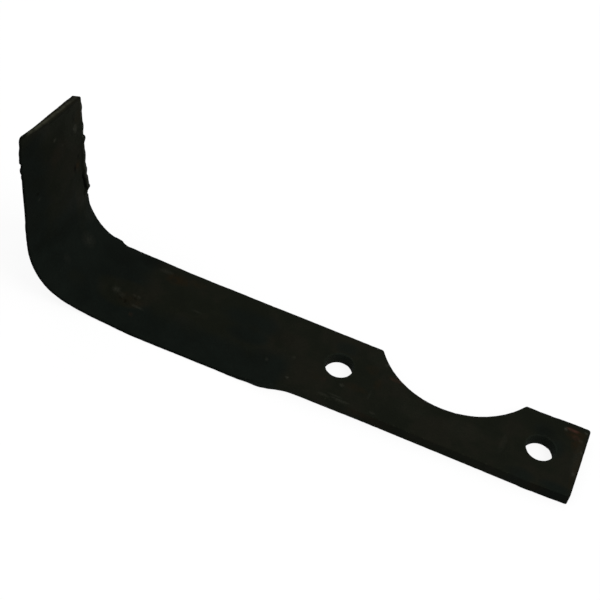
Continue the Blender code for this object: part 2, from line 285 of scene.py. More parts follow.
def back_edge(station):
    """Place of the back edge: the bar's straight side, the notch and the tip's ragged side."""
    from_fold = station - FOLD_FROM_BOLT
    swell = 0.0
    if station < NOTCH_STATION:
        swell = BUTT_SWELL + BUTT_FLARE * falling(station, NOTCH_STATION - NOTCH_RADIUS, BUTT_PAST_BOLT)
    edge = BACK_Y + swell + through(BACK_OUTLINE, from_fold) + lumps(BACK_LUMPS, from_fold)
    return softer_minimum(edge, notch_edge(station), NOTCH_HORN_SOFTNESS)


def thickness(station):
    """Thickness of the bar: full up to the bend, and then an even taper to the end."""
    start = FOLD_FROM_BOLT - THINNING_BEFORE_FOLD
    share = min(max((station - start) / (END_STATION - start), 0.0), 1.0)
    return SHANK_THICK + (TIP_THICK - SHANK_THICK) * share


def front_land(station):
    """Height of the front face: full on the shank, and a thin land on the knife."""
    full = thickness(station)
    return full + (KNIFE_LAND - full) * rising(station, BEVEL_START, BEVEL_RUNOUT)


def bevel_width(width):
    """Width of the bevel on a bar of that width."""
    return min(BEVEL_WIDTH, BEVEL_SHARE * width)


def shoulder(share):
    """Height of the wedge's top across its width, with a soft shoulder where it ends."""
    if share <= SHOULDER_START:
        return share
    share = min(share, SHOULDER_END)
    return share - (share - SHOULDER_START) ** 2 / (2.0 * (SHOULDER_END - SHOULDER_START))


def arc(centre_across, centre_up, radius, start, stop):
    """Points of a rounded corner of the section, from one angle to another in degrees."""
    points = []
    for step in range(ARC_STEPS + 1):
        angle = math.radians(start + (stop - start) * step / ARC_STEPS)
        points.append((centre_across + radius * math.cos(angle), centre_up + radius * math.sin(angle)))
    return points


def between(start, stop, steps):
    """The points strictly between two points."""
    return [
        (start[0] + (stop[0] - start[0]) * k / steps, start[1] + (stop[1] - start[1]) * k / steps)
        for k in range(1, steps)
    ]


def lip_height(past_fold):
    """Height of the burr's lip: a quick rise and a slow fall."""
    share = (past_fold - LIP_START) / (LIP_END - LIP_START)
    return LIP_HEIGHT * (ease(LIP_RISE_RATE * share) - ease(1.0 - LIP_FALL_RATE * (1.0 - share)))


def section(station, width):
    """One closed section as (distance from the front edge, height over the underside)."""
    full = thickness(station)
    land = front_land(station)
    front_round = min(EDGE_ROUND, EDGE_ROUND_SHARE * land)
    back_round = min(EDGE_ROUND, EDGE_ROUND_SHARE * full)
    past_fold = station - FOLD_FROM_BOLT
    spill = lumps(KNIFE_LUMPS, past_fold)
    lean = BACK_LEAN * ease(past_fold / (END_STATION - FOLD_FROM_BOLT))
    lip = lip_height(past_fold)

    points = arc(front_round, front_round, front_round, 270, 180)
    upper = arc(front_round, land - front_round, front_round, 180, 90)
    points += between(points[-1], upper[0], SIDE_STEPS) + upper
    foot = width - LIP_WIDTH
    for step in range(1, TOP_STEPS + 1):
        across = front_round + (foot - front_round) * step / TOP_STEPS
        share = max(across - spill - front_round, 0.0) / bevel_width(width)
        last_quarter = ease(4 * step / TOP_STEPS - 3)
        dip = LIP_DIP_SHARE * lip * last_quarter
        points.append((across, land + (full - land) * shoulder(share) - dip))
    crest = (width - LIP_CREST_SHARE * LIP_WIDTH, full + lip)
    rim = arc(width - back_round, full + LIP_RIM_SHARE * lip - back_round, back_round, 90, 0)
    to_crest = BURR_STEPS // 3
    points += between(points[-1], crest, to_crest) + [crest]
    points += between(crest, rim[0], BURR_STEPS - to_crest) + rim
    lower = arc(width - lean - back_round, back_round, back_round, 0, -90)
    points += between(rim[-1], lower[0], SIDE_STEPS) + lower
    points += between(lower[-1], (front_round, 0.0), TOP_STEPS + BURR_STEPS)
    return points


def round_bend(station, across, up):
    """Carries a point of the flat blank round the bend."""
    ahead = station - FOLD_FROM_BOLT
    run = ahead * math.cos(FOLD_SKEW) + across * math.sin(FOLD_SKEW)
    aside = across * math.cos(FOLD_SKEW) - ahead * math.sin(FOLD_SKEW)
    eased = min(max(run, 0.0), EASE_RUN)
    bent = min(max(run - EASE_RUN, 0.0), BEND_RUN)
    straight = max(run - EASE_RUN - BEND_RUN, 0.0)
    first = eased / EASE_RADIUS
    turn = first + bent / BEND_RADIUS
    out = min(run, 0.0) + EASE_RADIUS * math.sin(first) + BEND_RADIUS * (math.sin(turn) - math.sin(first))
    rise = EASE_RADIUS * (1 - math.cos(first)) + BEND_RADIUS * (math.cos(first) - math.cos(turn))
    out += straight * math.cos(turn) - up * math.sin(turn)
    rise += straight * math.sin(turn) + up * math.cos(turn)
    forward = out * math.cos(FOLD_SKEW) - aside * math.sin(FOLD_SKEW)
    y = out * math.sin(FOLD_SKEW) + aside * math.cos(FOLD_SKEW)
    return Vector((INNER_BOLT_X - FOLD_FROM_BOLT - forward, y + BOLT_LINE_Y, rise))


def flatten(place):
    """The way back: the point of the flat blank that the bend carries to a place."""
    forward = INNER_BOLT_X - FOLD_FROM_BOLT - place.x
    y = place.y - BOLT_LINE_Y
    out = forward * math.cos(FOLD_SKEW) + y * math.sin(FOLD_SKEW)
    aside = y * math.cos(FOLD_SKEW) - forward * math.sin(FOLD_SKEW)
    second_out = (EASE_RADIUS - BEND_RADIUS) * math.sin(EASE_ANGLE)
    second_rise = EASE_RADIUS - (EASE_RADIUS - BEND_RADIUS) * math.cos(EASE_ANGLE)
    turn = math.atan2(out - second_out, second_rise - place.z)
    if place.z > second_rise:
        run = EASE_RUN + BEND_RUN + place.z - second_rise
        up = second_out + BEND_RADIUS - out
    elif turn > EASE_ANGLE:
        run = EASE_RUN + BEND_RADIUS * (turn - EASE_ANGLE)
        up = BEND_RADIUS - math.hypot(out - second_out, second_rise - place.z)
    elif out > 0.0:
        run = EASE_RADIUS * math.atan2(out, EASE_RADIUS - place.z)
        up = EASE_RADIUS - math.hypot(out, EASE_RADIUS - place.z)
    else:
        run = out
        up = place.z
    station = FOLD_FROM_BOLT + run * math.cos(FOLD_SKEW) - aside * math.sin(FOLD_SKEW)
    across = run * math.sin(FOLD_SKEW) + aside * math.cos(FOLD_SKEW)
    return Vector((station, across, up))


def normal_up(normal, station):
    """How squarely a face looks along the blank's upward direction, which turns with the bend."""
    run = station - FOLD_FROM_BOLT
    turn = min(max(run, 0.0), EASE_RUN) / EASE_RADIUS
    turn += min(max(run - EASE_RUN, 0.0), BEND_RUN) / BEND_RADIUS
    return normal.x * math.sin(turn) + normal.z * math.cos(turn)


def ring(station, inset=0.0):
    """One section of the finished blade. Near its two ends the sections turn to the ends' slants."""
    slant = END_SLANT * ease((station - END_STATION + SLANT_RUN) / SLANT_RUN)
    slant -= BUTT_SKEW * (1.0 - rising(station, BUTT_STATION, BUTT_PAST_BOLT))
    butt_corner = corner_cut(station - BUTT_STATION, BUTT_CORNER_RADIUS)
    front = front_edge(station) + butt_corner + corner_cut(END_STATION - station, TIP_CORNER_RADIUS)
    width = back_edge(station - slant) - butt_corner - front
    full = thickness(station)
    points = []
    for across, up in section(station, width):
        share = across / width
        across = inset + across * (1 - 2 * inset / width)
        up = inset + up * (1 - 2 * inset / full)
        points.append(round_bend(station - slant * share ** SLANT_HOLLOW, front + across, up))
    return points


def spread(start, stop, step):
    """Evenly spaced places from start up to, but not including, stop."""
    rounding = 1e-9
    count = max(1, math.ceil((stop - start) / step - rounding))
    return [start + (stop - start) * index / count for index in range(count)]


def stations():
    """Stations along the blank, closest at the notch's two horns and the ledge where the burr starts."""
    reach = math.sqrt(NOTCH_RADIUS ** 2 - (NOTCH_CENTRE_FROM_BOLT_LINE - BACK_Y) ** 2)
    fine = [(horn - HORN_REACH, horn + HORN_REACH) for horn in (NOTCH_STATION - reach, NOTCH_STATION + reach)]
    fine.append((FOLD_FROM_BOLT + LEDGE_START, FOLD_FROM_BOLT + LEDGE_END))
    places = []
    done = BUTT_STATION + EDGE_ROUND
    for start, stop in fine:
        places += spread(done, start, MESH_STEP) + spread(start, stop, FINE_STEP)
        done = stop
    return places + spread(done, END_STATION - EDGE_ROUND, MESH_STEP)


def rounded_end(station, inwards):
    """Rings that round off one end, from the end's face back to the full section."""
    rings = []
    for step in range(END_STEPS):
        angle = math.radians(90.0 * step / END_STEPS)
        inset = EDGE_ROUND * (1 - math.sin(angle))
        rings.append(ring(station + inwards * EDGE_ROUND * (1 - math.cos(angle)), inset))
    return rings


def join_loops(shape, loops):
    """Faces between neighbouring closed loops of points."""
    count = len(loops[0])
    for near_loop, far_loop in zip(loops, loops[1:]):
        for index in range(count):
            following = (index + 1) % count
            corners = (near_loop[index], near_loop[following], far_loop[following], far_loop[index])
            shape.faces.new(corners)


def to_mesh(shape, name):
    """Turns the faces outwards and hands the shape over as a mesh."""
    bmesh.ops.recalc_face_normals(shape, faces=shape.faces)
    mesh = bpy.data.meshes.new(name)
    shape.to_mesh(mesh)
    shape.free()
    return mesh


def cap(shape, loop):
    """Closes an end with a grid that follows its outline on all four sides."""
    half = ARC_STEPS // 2
    rows = SIDE_STEPS + ARC_STEPS
    columns = TOP_STEPS + BURR_STEPS + ARC_STEPS
    loop = loop[half:] + loop[:half]
    front = loop[:rows + 1]
    top = loop[rows:rows + columns + 1]
    back = loop[rows + columns:2 * rows + columns + 1][::-1]
    under = (loop[2 * rows + columns:] + loop[:1])[::-1]
    grid = [front]
    for i in range(1, columns):
        u = i / columns
        line = [under[i]]
        for j in range(1, rows):
            v = j / rows
            sides = (1 - u) * front[j].co + u * back[j].co
            ends = (1 - v) * under[i].co + v * top[i].co
            corners = (1 - u) * ((1 - v) * under[0].co + v * top[0].co)
            corners += u * ((1 - v) * under[-1].co + v * top[-1].co)
            line.append(shape.verts.new(sides + ends - corners))
        line.append(top[i])
        grid.append(line)
    grid.append(back)
    for near_line, far_line in zip(grid, grid[1:]):
        for j in range(rows):
            shape.faces.new((near_line[j], near_line[j + 1], far_line[j + 1], far_line[j]))


def blank_mesh():
    """The whole bar, lofted through its sections, before its holes and its surface."""
    rings = rounded_end(BUTT_STATION, 1)
    rings += [ring(place) for place in stations()]
    rings += [ring(END_STATION - EDGE_ROUND)] + rounded_end(END_STATION, -1)[::-1]
    shape = bmesh.new()
    loops = [[shape.verts.new(point) for point in points] for points in rings]
    join_loops(shape, loops)
    cap(shape, loops[0])
    cap(shape, loops[-1])
    return to_mesh(shape, "forged_blade")


def bore_mesh():
    """What a bolt hole takes away: a bore that widens from just inside both faces of the shank."""
    radius = BOLT_HOLE_DIAMETER / 2
    past = SHANK_THICK
    flare = radius + BOLT_HOLE_CHAMFER + past
    bore = spread(BOLT_HOLE_CHAMFER, SHANK_THICK - BOLT_HOLE_CHAMFER, MESH_STEP)
    bore.append(SHANK_THICK - BOLT_HOLE_CHAMFER)
    profile = [(flare, -past)] + [(radius, height) for height in bore] + [(flare, SHANK_THICK + past)]
    shape = bmesh.new()
    loops = []
    for ring_radius, height in profile:
        loop = []
        for side in range(HOLE_SIDES):
            angle = 2 * math.pi * side / HOLE_SIDES
            place = (ring_radius * math.cos(angle), ring_radius * math.sin(angle), height)
            loop.append(shape.verts.new(place))
        loops.append(loop)
    join_loops(shape, loops)
    shape.faces.new(loops[0])
    shape.faces.new(loops[-1])
    return to_mesh(shape, "bore")


def cut_hole(blade, x, y):
    """Bores one bolt hole with lightly broken rims."""
    cutter = bpy.data.objects.new("bore", bore_mesh())
    bpy.context.scene.collection.objects.link(cutter)
    cutter.location = (x, y, 0.0)
    cut = blade.modifiers.new("bore", "BOOLEAN")
    cut.object = cutter
    cut.solver = "EXACT"
    bpy.context.view_layer.update()
    evaluated = blade.evaluated_get(bpy.context.evaluated_depsgraph_get())
    bored = bpy.data.meshes.new_from_object(evaluated)
    blade.modifiers.remove(cut)
    blade.data = bored
    bpy.data.objects.remove(cutter, do_unlink=True)


def merge_slivers(mesh):
    """Joins points that lie almost on each other, as a bore's rim leaves them."""
    shape = bmesh.new()
    shape.from_mesh(mesh)
    bmesh.ops.remove_doubles(shape, verts=shape.verts, dist=SLIVER)
    shape.to_mesh(mesh)
    shape.free()


# Marks on the upper face, in millimetres: (station, across, half length, half width, strength)
PALE_MARKS = (
    (169.1, 11.8, 2.4, 1.3, 0.8), (169.8, 10.6, 2.0, 0.4, 0.7), (173.9, -0.5, 0.8, 0.7, 0.7),
    (168.1, 3.6, 0.45, 0.9, 0.4), (153.0, -11.0, 0.6, 0.6, 0.5), (112.4, 6.6, 4.8, 3.4, 0.2),
    (112.0, 6.8, 2.6, 1.9, 0.35), (114.8, -5.8, 2.5, 1.5, 0.12), (89.0, -5.4, 2.2, 1.3, 0.5),
    (86.0, -6.6, 1.6, 1.0, 0.3), (79.6, -5.1, 0.8, 0.7, 0.6), (78.3, -9.0, 2.8, 0.5, 0.5),
    (81.5, -5.0, 0.7, 0.6, 0.5), (76.0, 10.8, 3.4, 1.0, 0.35), (57.4, -1.5, 2.2, 0.45, 0.3),
    (25.2, -9.2, 0.7, 0.7, 0.4), (15.2, -13.5, 0.6, 0.6, 1.0), (16.4, -4.2, 0.6, 0.6, 0.35),
    (-4.0, -7.9, 0.9, 0.7, 0.8), (-14.6, -7.3, 0.5, 2.2, 0.25), (-18.4, -14.3, 1.4, 0.5, 0.4),
    (-65.0, -5.0, 1.2, 5.0, 0.15), (121.0, 14.0, 5.0, 3.0, 0.14), (-30.0, -6.0, 7.0, 5.0, 0.08),
    (-50.0, -6.0, 8.0, 5.0, 0.08), (-84.2, 11.7, 0.8, 0.9, 1.0), (-15.6, 8.1, 0.5, 0.7, 0.7),
    (-91.4, 13.3, 0.6, 0.6, 1.0), (171.0, 11.5, 12.0, 7.0, 0.16), (-12.4, 9.7, 5.0, 4.0, 0.08),
    (-92.0, 4.1, 0.6, 0.8, 0.9), (-91.2, 1.0, 1.8, 9.0, 0.18), (-91.6, -5.9, 0.6, 1.2, 0.7),
    (0.5, -14.9, 3.0, 0.5, 0.4), (-6.0, -14.6, 4.0, 0.6, 0.55), (-3.5, -13.4, 3.0, 0.4, 0.4),
    (-90.5, 9.0, 1.0, 0.8, 0.5),
)
PINK_MARKS = (
    (-86.6, 12.4, 2.6, 0.8, 1.0), (-88.6, 9.6, 1.6, 1.2, 0.35), (-21.5, 3.2, 3.2, 0.7, 0.35),
    (3.0, -8.6, 1.2, 1.6, 0.15), (79.2, -12.4, 1.0, 0.9, 0.12),
)
RUST_MARKS = (
    (70.4, 9.1, 5.5, 3.2, 0.5), (62.8, 10.5, 4.0, 2.2, 0.3), (82.4, -7.3, 6.0, 3.5, 0.25),
    (79.2, -12.4, 1.0, 0.9, 0.35), (-8.8, -6.7, 5.5, 1.8, 0.28), (6.4, -8.6, 2.5, 2.2, 0.2),
    (-11.6, 3.7, 3.0, 2.5, 0.3), (-16.0, -1.5, 2.0, 3.0, 0.3), (-20.8, 3.7, 3.5, 1.2, 0.3),
    (-88.0, 11.0, 4.5, 3.5, 0.7), (-90.0, 7.0, 2.8, 4.5, 0.6), (-91.8, -4.0, 1.4, 9.0, 0.4),
    (150.8, 11.2, 4.0, 1.4, 0.5), (172.7, 14.0, 3.5, 2.2, 0.25), (166.0, -1.0, 5.0, 3.0, 0.12),
)
DARK_MARKS = (
    (174.5, 11.2, 2.6, 0.5, 0.6), (151.0, 9.3, 2.6, 0.7, 1.0), (155.0, 11.9, 1.6, 0.5, 0.8),
    (83.6, -8.4, 0.7, 0.6, 0.9), (156.0, -11.4, 0.8, 0.7, 0.9), (168.4, 9.6, 2.0, 0.4, 0.5),
    # the broad, faint mark at station 97 is painted shade inside the bend
    (97.0, 10.5, 10.0, 6.0, 0.22), (86.0, -7.8, 0.6, 0.5, 0.7), (80.5, -6.4, 0.6, 0.5, 0.7),
    (-78.0, 6.6, 4.0, 3.0, 0.25), (82.5, 14.0, 7.0, 4.5, 0.4), (24.0, 1.5, 6.0, 5.0, 0.16),
    (27.5, -9.5, 5.0, 4.5, 0.15), (143.0, 5.0, 6.0, 5.0, 0.12), (25.0, -10.4, 0.6, 0.5, 0.4),
    (180.0, 9.0, 1.2, 1.6, 0.5), (182.5, 13.6, 0.7, 2.6, 0.5),
)
# Places with cooler scale beyond the bevel and the bend, laid out as above
COOL_MARKS = (
    (-77.5, 7.5, 6.0, 5.0, 0.75), (-83.2, 2.5, 4.0, 6.0, 0.6), (-74.0, -14.5, 7.0, 3.5, 0.6),
    (-87.0, -14.5, 7.0, 3.0, 0.7), (38.0, 4.2, 14.0, 7.0, 0.85), (36.8, -2.5, 10.0, 5.0, 1.0),
    (0.0, 8.5, 6.0, 3.5, 0.5), (178.5, -12.5, 6.0, 7.0, 0.9), (168.0, -14.0, 7.0, 5.0, 0.7),
)
# Olive places inside the cooler scale
OLIVE_MARKS = (
    (87.0, -5.5, 13.0, 6.5, 1.0), (60.0, -10.0, 6.0, 4.0, 0.15), (106.0, -9.0, 6.0, 4.0, 0.35),
    (132.0, 12.0, 12.0, 5.0, 0.6), (121.0, 10.5, 7.0, 5.0, 0.4),
)
MARK_FADE = 0.7                      # power with which a mark fades towards its outline
# Pits in the upper face, in millimetres: (station, across, radius, depth)
PITS = (
    (156.0, -11.4, 0.9, 0.16), (83.6, -8.4, 0.9, 0.14), (79.0, -7.0, 1.4, 0.10), (88.5, -7.4, 1.6, 0.08),
    (76.5, -10.0, 1.1, 0.10), (112.0, 6.0, 2.2, 0.07), (25.2, -9.9, 0.9, 0.10), (15.2, -13.9, 0.8, 0.10),
    (151.0, 9.3, 1.1, 0.15), (174.5, 11.2, 1.0, 0.08),
)

# Relief of the scale: the size and the depth of each kind of unevenness
SCALE_COAT = 0.24 * MM               # the scale's top stands that far out from the drawn form
WAVE_LENGTH = 16.0 * MM
WAVE_DEPTH = 0.09 * MM
SHANK_WAVES = 0.4                    # waves and dents of the rolled shank, as shares of the forged end's
DENT_LENGTH = 6.5 * MM
DENT_DEPTH = 0.05 * MM
DENT_SLOPE = 1.6
SHANK_DENTS = 0.3
FLAKE_LENGTH = 2.6 * MM
FLAKE_DEPTH = 0.035 * MM
FLAKE_SLOPE = 3.0
FLAKE_THRESHOLD = 0.2
SMALL_FLAKE_LENGTH = 0.43 * FLAKE_LENGTH
SMALL_FLAKE_SHARE = 0.5
GRAIN_LENGTH = 1.1 * MM
GRAIN_DEPTH = 0.012 * MM
NICK_LENGTH = 1.6 * MM
NICK_DEPTH = 0.16 * MM
NICK_THRESHOLD = 0.15
EDGE_REACH = 0.45 * MM               # how far an edge's wear reaches over the faces

# Slight burr that stands out along the sheared end, by places across the bar
END_BURR = 0.13 * MM
END_BURR_WIDTH = 1.0 * MM
END_BURR_START = -5.5 * MM
END_BURR_STOP = 15.0 * MM
END_BURR_FADE = 4.0 * MM

# Folded burr along the back of the tip: its crack and its crest, by distance from the back edge
BURR_START = 132.5 * MM
BURR_END = 146.0 * MM
CREST_END = 180.0 * MM
BURR_FADE = 4.0 * MM
CRACK_IN = 2.2 * MM
CRACK_HALF = 0.42 * MM
CRACK_DEPTH = 0.32 * MM
CREST_IN = 1.0 * MM
CREST_HALF = 0.45 * MM
CREST_RISE = 0.10 * MM
WANDER = 0.35 * MM
WANDER_LENGTH = 3.0 * MM

# What counts as the upper face and as a hole's wall
UPPER_TURN = 0.5                     # it looks up at least that squarely
UPPER_REACH = 0.6 * MM
HOLE_REACH = 0.3 * MM

# Cooler scale: on the bevel, in the bend, and in the holes
COOL_BEVEL_WIDTH = 0.8 * BEVEL_WIDTH
COOL_BEVEL_FADE = 12.0 * MM
COOL_STEP_FADE = 10.0 * MM
COOL_BEND_START = (74.0 * MM, 15.0 * MM)     # station where it starts to show, and length of that
COOL_BEND_STOP = (152.0 * MM, 30.0 * MM)     # station where it is gone, and length of that
COOL_HOLE = 0.6
WARM_TIP = 0.35                      # the bevel is less cool towards the tip
WARM_END = 0.6                       # and at the very end
WARM_END_START = (181.0 * MM, 5.0 * MM)

# Painted shade and more roughness on the tip, apart from the slanted end's back part
TIP_TONE = 0.9
TIP_TONE_START = (122.0 * MM, 48.0 * MM)
END_TONE_LOSS = 0.6
END_TONE_START = (172.0 * MM, 10.0 * MM)
END_TONE_ACROSS = (-12.0 * MM, 8.0 * MM)

# Paler band of the cut end: start and length of each change up the end's face and across it
CUT_WRAP = 0.5 * EDGE_ROUND          # full up to half of that from the end, gone at 1.5 times that
CUT_FULL_SHARE = 0.3                 # of the thickness it goes by, the rest being the bevel's
CUT_UP_START = (0.2, 0.25)           # in shares of that thickness
CUT_UP_STOP = (0.6, 0.25)
CUT_UP_LOSS = 0.9
CUT_ACROSS_START = (-14.5 * MM, 5.0 * MM)
CUT_ACROSS_STOP = (9.0 * MM, 3.0 * MM)
CUT_ACROSS_LOSS = 0.4

# Rust away from the marks, and pale specks on the burr's crest
FAINT_RUST = 0.25
CREST_PALENESS = 0.9
CREST_SPECK_LENGTH = 0.7 * GRAIN_LENGTH
CREST_SPECK_SLOPE = 2.4
CREST_SPECK_THRESHOLD = 0.7

# Painted shade along the rims of the edges, which the holes and the shank's front edge are nearly free of
RIM_SHADE_FREE_FRONT = 1.5 * MM
RIM_SHADE_FREE_SHARE = 0.85

# Painted shade on the side faces: darkest at the butt, and less so beside the forged step
SIDE_TURN = (0.7, 0.5)               # gone where a face looks up or down by more than the first
SIDE_SHADE = 0.55
BUTT_SHADE = 0.45
BUTT_SHADE_STOP = (-74.0 * MM, 10.0 * MM)
STEP_SHADE_LOSS = 0.5
STEP_SHADE_BAND = (-20.0 * MM, 45.0 * MM, 15.0 * MM)


def marks(spots, station, across):
    """How strongly a place lies in a list of oval marks given in millimetres."""
    total = 0.0
    for centre, middle, half_length, half_width, strength in spots:
        along = (station / MM - centre) / half_length
        aside = (across / MM - middle) / half_width
        reach = along * along + aside * aside
        if reach < 1.0:
            total = max(total, strength * (1.0 - reach) ** MARK_FADE)
    return total


def pitted(station, across):
    """Depth of the single pits at a place."""
    depth = 0.0
    for centre, middle, radius, deepest in PITS:
        reach = math.hypot(station / MM - centre, across / MM - middle) / radius
        if reach < 1.0:
            depth = max(depth, deepest * MM * (1.0 - reach * reach) ** 2)
    return depth


def distances(flat):
    """Distances of a point of the blank inwards from the bar's faces."""
    station, across, up = flat
    front, back = front_edge(station), back_edge(station)
    share = min(max((across - front) / (back - front), 0.0), 1.0)
    full, land = thickness(station), front_land(station)
    wedge = max(across - front - EDGE_ROUND, 0.0) / bevel_width(back - front)
    inner = math.hypot(station, across) - BOLT_HOLE_DIAMETER / 2
    outer = math.hypot(station + BOLT_SPACING, across - OUTER_HOLE_OFFSET) - BOLT_HOLE_DIAMETER / 2
    return {
        "front": across - front,
        "back": back - across,
        "under": up,
        "top": land + (full - land) * shoulder(wedge) - up,
        "end": END_STATION - END_SLANT * share ** SLANT_HOLLOW - station,
        "butt": station - BUTT_STATION - BUTT_SKEW * share,
        "hole": min(inner, outer),
    }


class SurfacePoint:
    """A point of the surface, laid back on the flat blank, and how it lies to the bar's faces."""

    def __init__(self, place, normal):
        self.flat = flatten(place)
        self.station, self.across, self.up = self.flat
        self.gaps = distances(self.flat)
        self.faces_up = normal_up(normal, self.station)
        self.upper = self.faces_up > UPPER_TURN and self.gaps["top"] < UPPER_REACH
        self.in_hole = self.gaps["hole"] < HOLE_REACH
        edge_gap = sorted(max(gap, 0.0) for gap in self.gaps.values())[1]
        self.edge = math.exp(-((edge_gap / EDGE_REACH) ** 2))
        self.wave = noise.noise(self.flat / WAVE_LENGTH)
        from_back = self.gaps["back"] + WANDER * noise.noise(self.flat / WANDER_LENGTH)
        along_crack = band(self.station, BURR_START, BURR_END, BURR_FADE)
        along_crest = band(self.station, BURR_START, CREST_END, BURR_FADE)
        self.crack = near(from_back, CRACK_IN, CRACK_HALF) * along_crack
        self.crest = near(from_back, CREST_IN, CREST_HALF) * along_crest

    def marked(self, spots):
        """How strongly the point lies in marks, which are on the upper face alone."""
        return marks(spots, self.station, self.across) if self.upper else 0.0


def relief(point):
    """How far the surface is taken in at a point. It is less than nothing where the scale stands out."""
    flat = point.flat
    forged = rising(point.station, STEP_START, BEVEL_RUNOUT)
    cell = noise.voronoi(flat / DENT_LENGTH)[0][0]
    flake = noise.noise(flat / FLAKE_LENGTH) + SMALL_FLAKE_SHARE * noise.noise(flat / SMALL_FLAKE_LENGTH)
    grain = noise.noise(flat / GRAIN_LENGTH)
    nick = max(noise.noise(flat / NICK_LENGTH) - NICK_THRESHOLD, 0.0)
    depth = WAVE_DEPTH * (0.5 + 0.5 * point.wave) * (SHANK_WAVES + (1.0 - SHANK_WAVES) * forged)
    depth += DENT_DEPTH * max(1.0 - DENT_SLOPE * cell, 0.0) * (SHANK_DENTS + (1.0 - SHANK_DENTS) * forged)
    depth += FLAKE_DEPTH * ease(FLAKE_SLOPE * flake - FLAKE_THRESHOLD)
    depth += GRAIN_DEPTH * (0.5 + 0.5 * grain)
    depth += NICK_DEPTH * nick * point.edge - SCALE_COAT
    along_end = band(point.across, END_BURR_START, END_BURR_STOP, END_BURR_FADE)
    depth -= END_BURR * near(point.gaps["end"], 0.0, END_BURR_WIDTH) * along_end
    if point.upper:
        depth += pitted(point.station, point.across) + CRACK_DEPTH * point.crack
        depth -= CREST_RISE * point.crest * (0.5 + grain)
    return depth


def tip_shade_and_roughness(point):
    """How much of the tip's painted shade and rougher finish a point has."""
    return TIP_TONE * rising(point.station, *TIP_TONE_START)


def coolness(point):
    """Cooler scale on the bevel, in the bend, in the holes and at its marks, less the olive places."""
    past_shoulder = point.gaps["front"] - COOL_BEVEL_WIDTH
    bevel = ease(0.5 - past_shoulder / COOL_BEVEL_FADE) * rising(point.station, STEP_START, COOL_STEP_FADE)
    bevel *= 1.0 - WARM_TIP * tip_shade_and_roughness(point) - WARM_END * rising(point.station, *WARM_END_START)
    bend = rising(point.station, *COOL_BEND_START) * falling(point.station, *COOL_BEND_STOP)
    cool = max(bevel, bend, marks(COOL_MARKS, point.station, point.across), COOL_HOLE * point.in_hole)
    return cool - marks(OLIVE_MARKS, point.station, point.across)


def paleness(point):
    """Pale scuffs, and broken pale specks along the burr's crest."""
    specks = 0.5 + noise.noise(point.flat / CREST_SPECK_LENGTH)
    crest = CREST_PALENESS * point.crest * ease(CREST_SPECK_SLOPE * specks - CREST_SPECK_THRESHOLD)
    return max(point.marked(PALE_MARKS), crest) if point.upper else 0.0


def cut_band(point):
    """The paler band that runs along the sheared end, between its underside and its upper edge."""
    local = max(point.up + point.gaps["top"], 0.0)
    height = point.up / (CUT_FULL_SHARE * thickness(point.station) + (1.0 - CUT_FULL_SHARE) * local)
    cut = ease(1.5 - max(point.gaps["end"], 0.0) / CUT_WRAP)
    cut *= rising(height, *CUT_UP_START) * (1.0 - CUT_UP_LOSS * rising(height, *CUT_UP_STOP))
    across = rising(point.across, *CUT_ACROSS_START)
    return cut * (across * (1.0 - CUT_ACROSS_LOSS * rising(point.across, *CUT_ACROSS_STOP)))


def rim_painted_shade(point):
    """Painted shade along the edges, weaker in the holes and along the shank's front edge."""
    by_front = max(point.gaps["front"], point.gaps["top"]) < RIM_SHADE_FREE_FRONT
    unshaded = 1.0 if point.in_hole else by_front * (1.0 - rising(point.station, BEVEL_START, BEVEL_RUNOUT))
    return (1.0 - RIM_SHADE_FREE_SHARE * unshaded) * point.edge


def side_painted_shade(point):
    """Painted shade of the side faces."""
    if point.upper or point.in_hole:
        return 0.0
    by_butt = falling(point.station, *BUTT_SHADE_STOP)
    by_step = band(point.station, *STEP_SHADE_BAND)
    side = falling(abs(point.faces_up), *SIDE_TURN)
    return (SIDE_SHADE + BUTT_SHADE * by_butt - STEP_SHADE_LOSS * by_step) * side


def finishes_and_painted_light(point):
    """How much of each finish, and of the painted shade and light, a point has."""
    by_end = rising(point.station, *END_TONE_START) * rising(point.across, *END_TONE_ACROSS)
    return {
        "cool": coolness(point),
        "rust": point.marked(RUST_MARKS) if point.upper else FAINT_RUST * ease(2 * point.wave),
        "pale": paleness(point),
        "pink": point.marked(PINK_MARKS),
        "dark": max(point.marked(DARK_MARKS), point.crack) if point.upper else 0.0,
        "cut": cut_band(point),
        "edge": point.edge,
        # painted shade along the edges
        "rim": rim_painted_shade(point),
        # painted shade on the side faces
        "side": side_painted_shade(point),
        # painted shade on the tip, with its real extra roughness
        "tip": tip_shade_and_roughness(point) * (1.0 - END_TONE_LOSS * by_end),
        # painted light on the bore walls, which lifts the shade inside the holes
        "bore": float(point.in_hole),
    }


def finish_surface(mesh):
    """Works the relief into the points, inside the solid's box, and notes each point's finish and its painted
    shade and light.
    """
    normals = [Vector(normal.vector) for normal in mesh.vertex_normals]
    points = [SurfacePoint(vertex.co, normal) for vertex, normal in zip(mesh.vertices, normals)]
    for vertex, normal, point in zip(mesh.vertices, normals, points):
        place = vertex.co - normal * relief(point)
        low = [max(value, least) for value, least in zip(place, cad_low)]
        vertex.co = [min(value, most) for value, most in zip(low, cad_high)]

    blank = mesh.attributes.new("blank", "FLOAT_VECTOR", "POINT")
    blank.data.foreach_set("vector", [value for point in points for value in point.flat])
    notes = [finishes_and_painted_light(point) for point in points]
    for name in notes[0]:
        attribute = mesh.attributes.new(name, "FLOAT", "POINT")
        attribute.data.foreach_set("value", [note[name] for note in notes])
    mesh.update()


